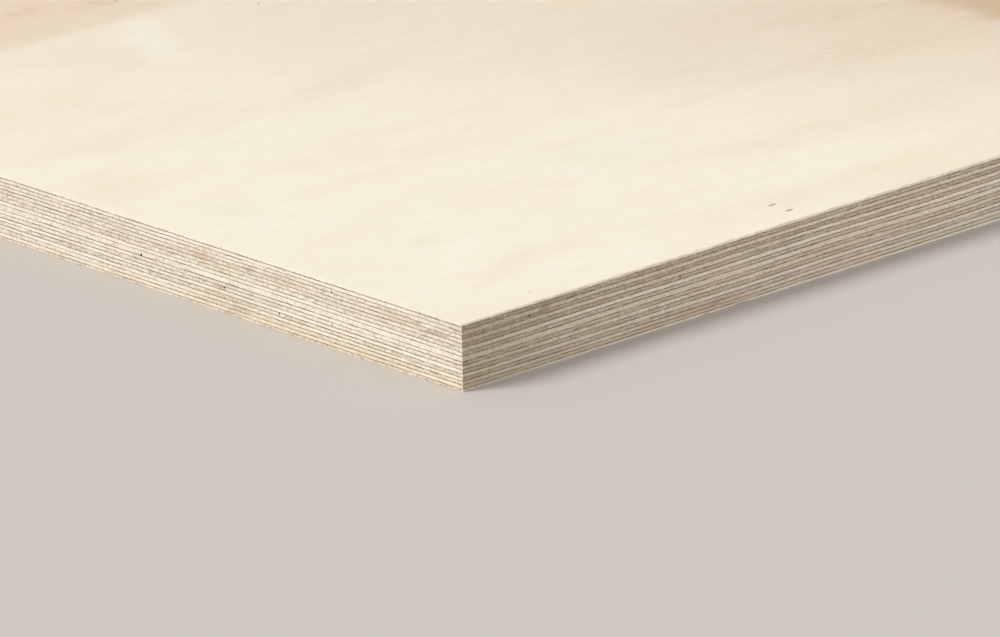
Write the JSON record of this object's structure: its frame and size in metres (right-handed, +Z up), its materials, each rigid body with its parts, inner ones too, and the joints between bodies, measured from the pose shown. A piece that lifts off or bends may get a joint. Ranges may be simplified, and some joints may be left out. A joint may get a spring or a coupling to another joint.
{
  "type": "plywood sheet",
  "caption": "Full birch plywood sheet, 24 mm thick, of thin crossed veneers with a pale sanded face and square sawn edges that show the lay-up.",
  "frame": {"origin": "under the middle of the sheet, on its back face, which lies on the floor", "axes": "+X along the sheet's length and the grain of its face veneer, +Y across its width, +Z up through its thickness to the face veneer"},
  "size_m": [2.44, 1.22, 0.024],
  "materials": {
    "face_veneer": "sanded, bare",
    "long_veneer": "sawn edge, bare",
    "crossband": "sawn edge, bare",
    "back_veneer": "sanded, bare"
  },
  "bodies": {
    "root": {"ply_01_face_veneer": "face_veneer", "ply_02_crossband": "crossband", "ply_03_long_veneer": "long_veneer", "ply_04_crossband": "crossband", "ply_05_long_veneer": "long_veneer", "ply_06_crossband": "crossband", "ply_07_long_veneer": "long_veneer", "ply_08_crossband": "crossband", "ply_09_centre_veneer": "long_veneer", "ply_10_crossband": "crossband", "ply_11_long_veneer": "long_veneer", "ply_12_crossband": "crossband", "ply_13_long_veneer": "long_veneer", "ply_14_crossband": "crossband", "ply_15_long_veneer": "long_veneer", "ply_16_crossband": "crossband", "ply_17_back_veneer": "back_veneer"}
  },
  "joints": []
}
